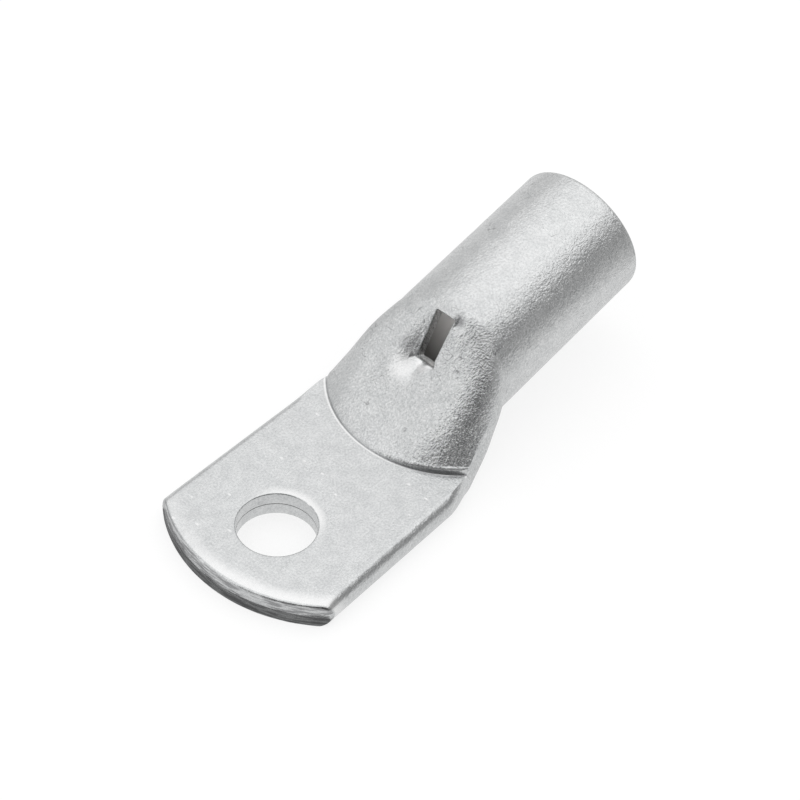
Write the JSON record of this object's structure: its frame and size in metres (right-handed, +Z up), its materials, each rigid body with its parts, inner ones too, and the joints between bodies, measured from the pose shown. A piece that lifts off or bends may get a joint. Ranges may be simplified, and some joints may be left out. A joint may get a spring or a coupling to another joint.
{
  "type": "tubular cable lug",
  "caption": "Tube lug pressed from one piece: a round cable socket with an inspection window runs into a flattened palm with a bolt hole.",
  "frame": {"origin": "centre of the bolt hole on the palm's contact face", "axes": "+X from the bolt hole towards the cable end, +Z up through the bolt hole, away from the contact face"},
  "size_m": [0.0905, 0.0352, 0.0292],
  "materials": {
    "tinned_copper": "matt tin plating on copper"
  },
  "bodies": {
    "root": {"lug": "tinned_copper"}
  },
  "joints": []
}
